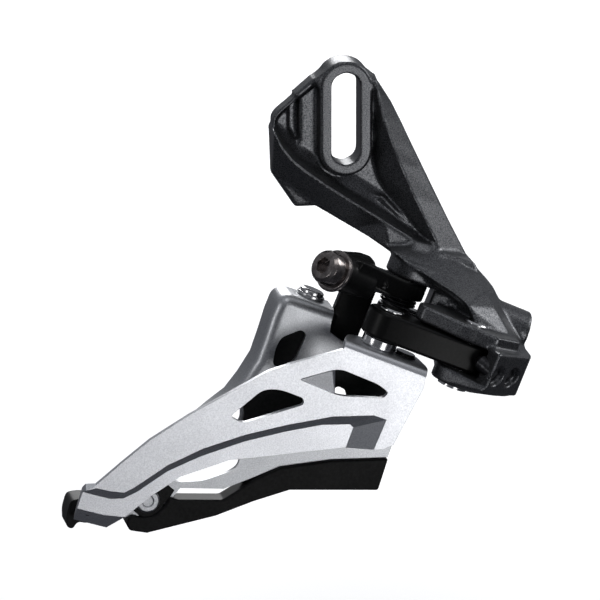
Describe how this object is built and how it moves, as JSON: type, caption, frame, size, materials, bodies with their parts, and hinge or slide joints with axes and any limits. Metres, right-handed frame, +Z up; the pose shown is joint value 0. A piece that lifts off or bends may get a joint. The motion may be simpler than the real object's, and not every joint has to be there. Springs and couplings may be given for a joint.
{
  "type": "front derailleur",
  "caption": "Side-swing front derailleur for a bicycle: slotted mounting bracket, parallel links and a chain cage that swings sideways.",
  "frame": {"origin": "centre of the mounting slot, on the face that lies against the frame", "axes": "+X forwards, +Y inboard towards the bicycle's frame (out of the mounting face), +Z up along the mounting slot"},
  "size_m": [0.0966, 0.034, 0.0933],
  "materials": {
    "bracket_coat": "satin",
    "plate_silver": "satin",
    "link_black": "gloss",
    "skid_plastic": "matte",
    "bush_plastic": "matte",
    "dark_steel": "satin",
    "bright_steel": "satin"
  },
  "bodies": {
    "bracket": {"base_bracket": "bracket_coat", "outer_link_base_axle": "bright_steel", "inner_link_base_axle": "bright_steel", "outer_axle_clip": "bright_steel", "inner_axle_clip": "bright_steel", "spring_bush": "skid_plastic", "return_spring": "bright_steel"},
    "low_screw": {"low_limit_screw": "dark_steel"},
    "top_screw": {"top_limit_screw": "dark_steel"},
    "outer_link": {"outer_link": "link_black", "outer_base_bush": "bush_plastic", "outer_cage_bush": "bush_plastic"},
    "inner_link": {"inner_link": "link_black", "inner_base_bush": "bush_plastic", "inner_cage_bush": "bush_plastic", "cable_washer": "dark_steel", "cable_bolt": "dark_steel"},
    "cage": {"cage_outer_plate": "plate_silver", "cage_inner_plate": "plate_silver", "outer_cage_axle": "bright_steel", "outer_cage_washer": "bright_steel", "outer_cage_clip": "bright_steel", "inner_cage_axle": "bright_steel", "inner_cage_washer": "bright_steel", "inner_cage_clip": "bright_steel", "cage_rivet": "bright_steel", "skid_plate": "skid_plastic", "skid_plate_screw": "bright_steel", "tail_spacer": "skid_plastic", "tail_screw": "bright_steel"}
  },
  "joints": [
    {"name": "outer_link_swing", "type": "hinge", "parent": "bracket", "child": "outer_link", "pos_m": [0.0212, -0.023, -0.0452], "axis": [0.3746, 0, 0.9272], "range_deg": [0, 32], "stiffness_Nm_per_rad": 0.02, "springref_deg": -20.05},
    {"name": "inner_link_swing", "type": "hinge", "parent": "bracket", "child": "inner_link", "pos_m": [0.00868, -0.0098, -0.04014], "axis": [0.3746, 0, 0.9272], "range_deg": [0, 32], "deforming": ["return_spring"]},
    {"name": "cage_turn", "type": "hinge", "parent": "outer_link", "child": "cage", "pos_m": [0.00562, -0.02123, -0.0389], "axis": [0.3746, 0, 0.9272], "range_deg": [-32, 0]},
    {"name": "low_screw_travel", "type": "slide", "parent": "bracket", "child": "low_screw", "axis": [0.5756, -0.647, -0.5], "range_m": [0, 0.002]},
    {"name": "top_screw_travel", "type": "slide", "parent": "bracket", "child": "top_screw", "axis": [0.5756, -0.647, -0.5], "range_m": [0, 0.002]}
  ],
  "couplings": [
    {"joint": "inner_link_swing", "follows": "outer_link_swing", "ratio": 1},
    {"joint": "cage_turn", "follows": "outer_link_swing", "ratio": -1}
  ]
}
